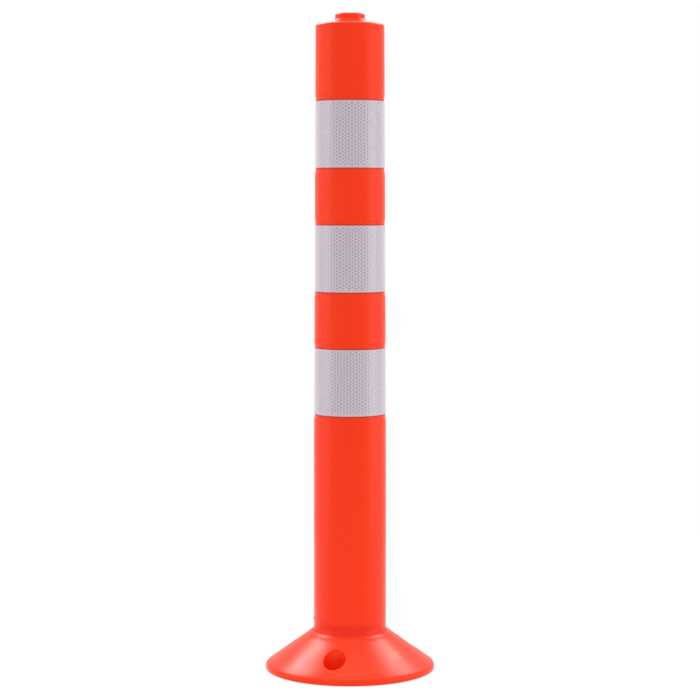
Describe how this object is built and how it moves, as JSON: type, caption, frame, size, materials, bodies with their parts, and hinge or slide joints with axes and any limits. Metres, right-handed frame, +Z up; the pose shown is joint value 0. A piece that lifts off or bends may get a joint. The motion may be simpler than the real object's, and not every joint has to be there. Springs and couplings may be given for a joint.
{
  "type": "delineator post",
  "caption": "Flexible road delineator: an upright orange tubular post with white reflective wraps and a round top knob on a conical bolt-down foot; it folds when struck and springs back.",
  "frame": {"origin": "centre of the foot on the ground, on the post's axis", "axes": "+Z up along the post's axis; the first fixing hole is on -Y, which is taken as the front"},
  "size_m": [0.195, 0.195, 0.75],
  "materials": {
    "moulding": "satin",
    "reflective_tape": "gloss"
  },
  "bodies": {
    "base": {"base_flange": "moulding"},
    "neck": {"flex_neck_lower": "moulding", "flex_neck_upper": "moulding"},
    "post": {"post_tube": "moulding", "reflective_band_upper": "reflective_tape", "reflective_band_middle": "reflective_tape", "reflective_band_lower": "reflective_tape"}
  },
  "joints": [
    {"name": "fold_fore_aft", "type": "hinge", "parent": "base", "child": "neck", "pos_m": [0, 0, 0.11], "axis": [1, 0, 0], "range_deg": [-90, 90], "stiffness_Nm_per_rad": 40, "deforming": ["flex_neck_lower"]},
    {"name": "fold_sideways", "type": "hinge", "parent": "neck", "child": "post", "pos_m": [0, 0, 0.21], "axis": [0, 1, 0], "range_deg": [-90, 90], "stiffness_Nm_per_rad": 40, "deforming": ["flex_neck_upper"]}
  ]
}
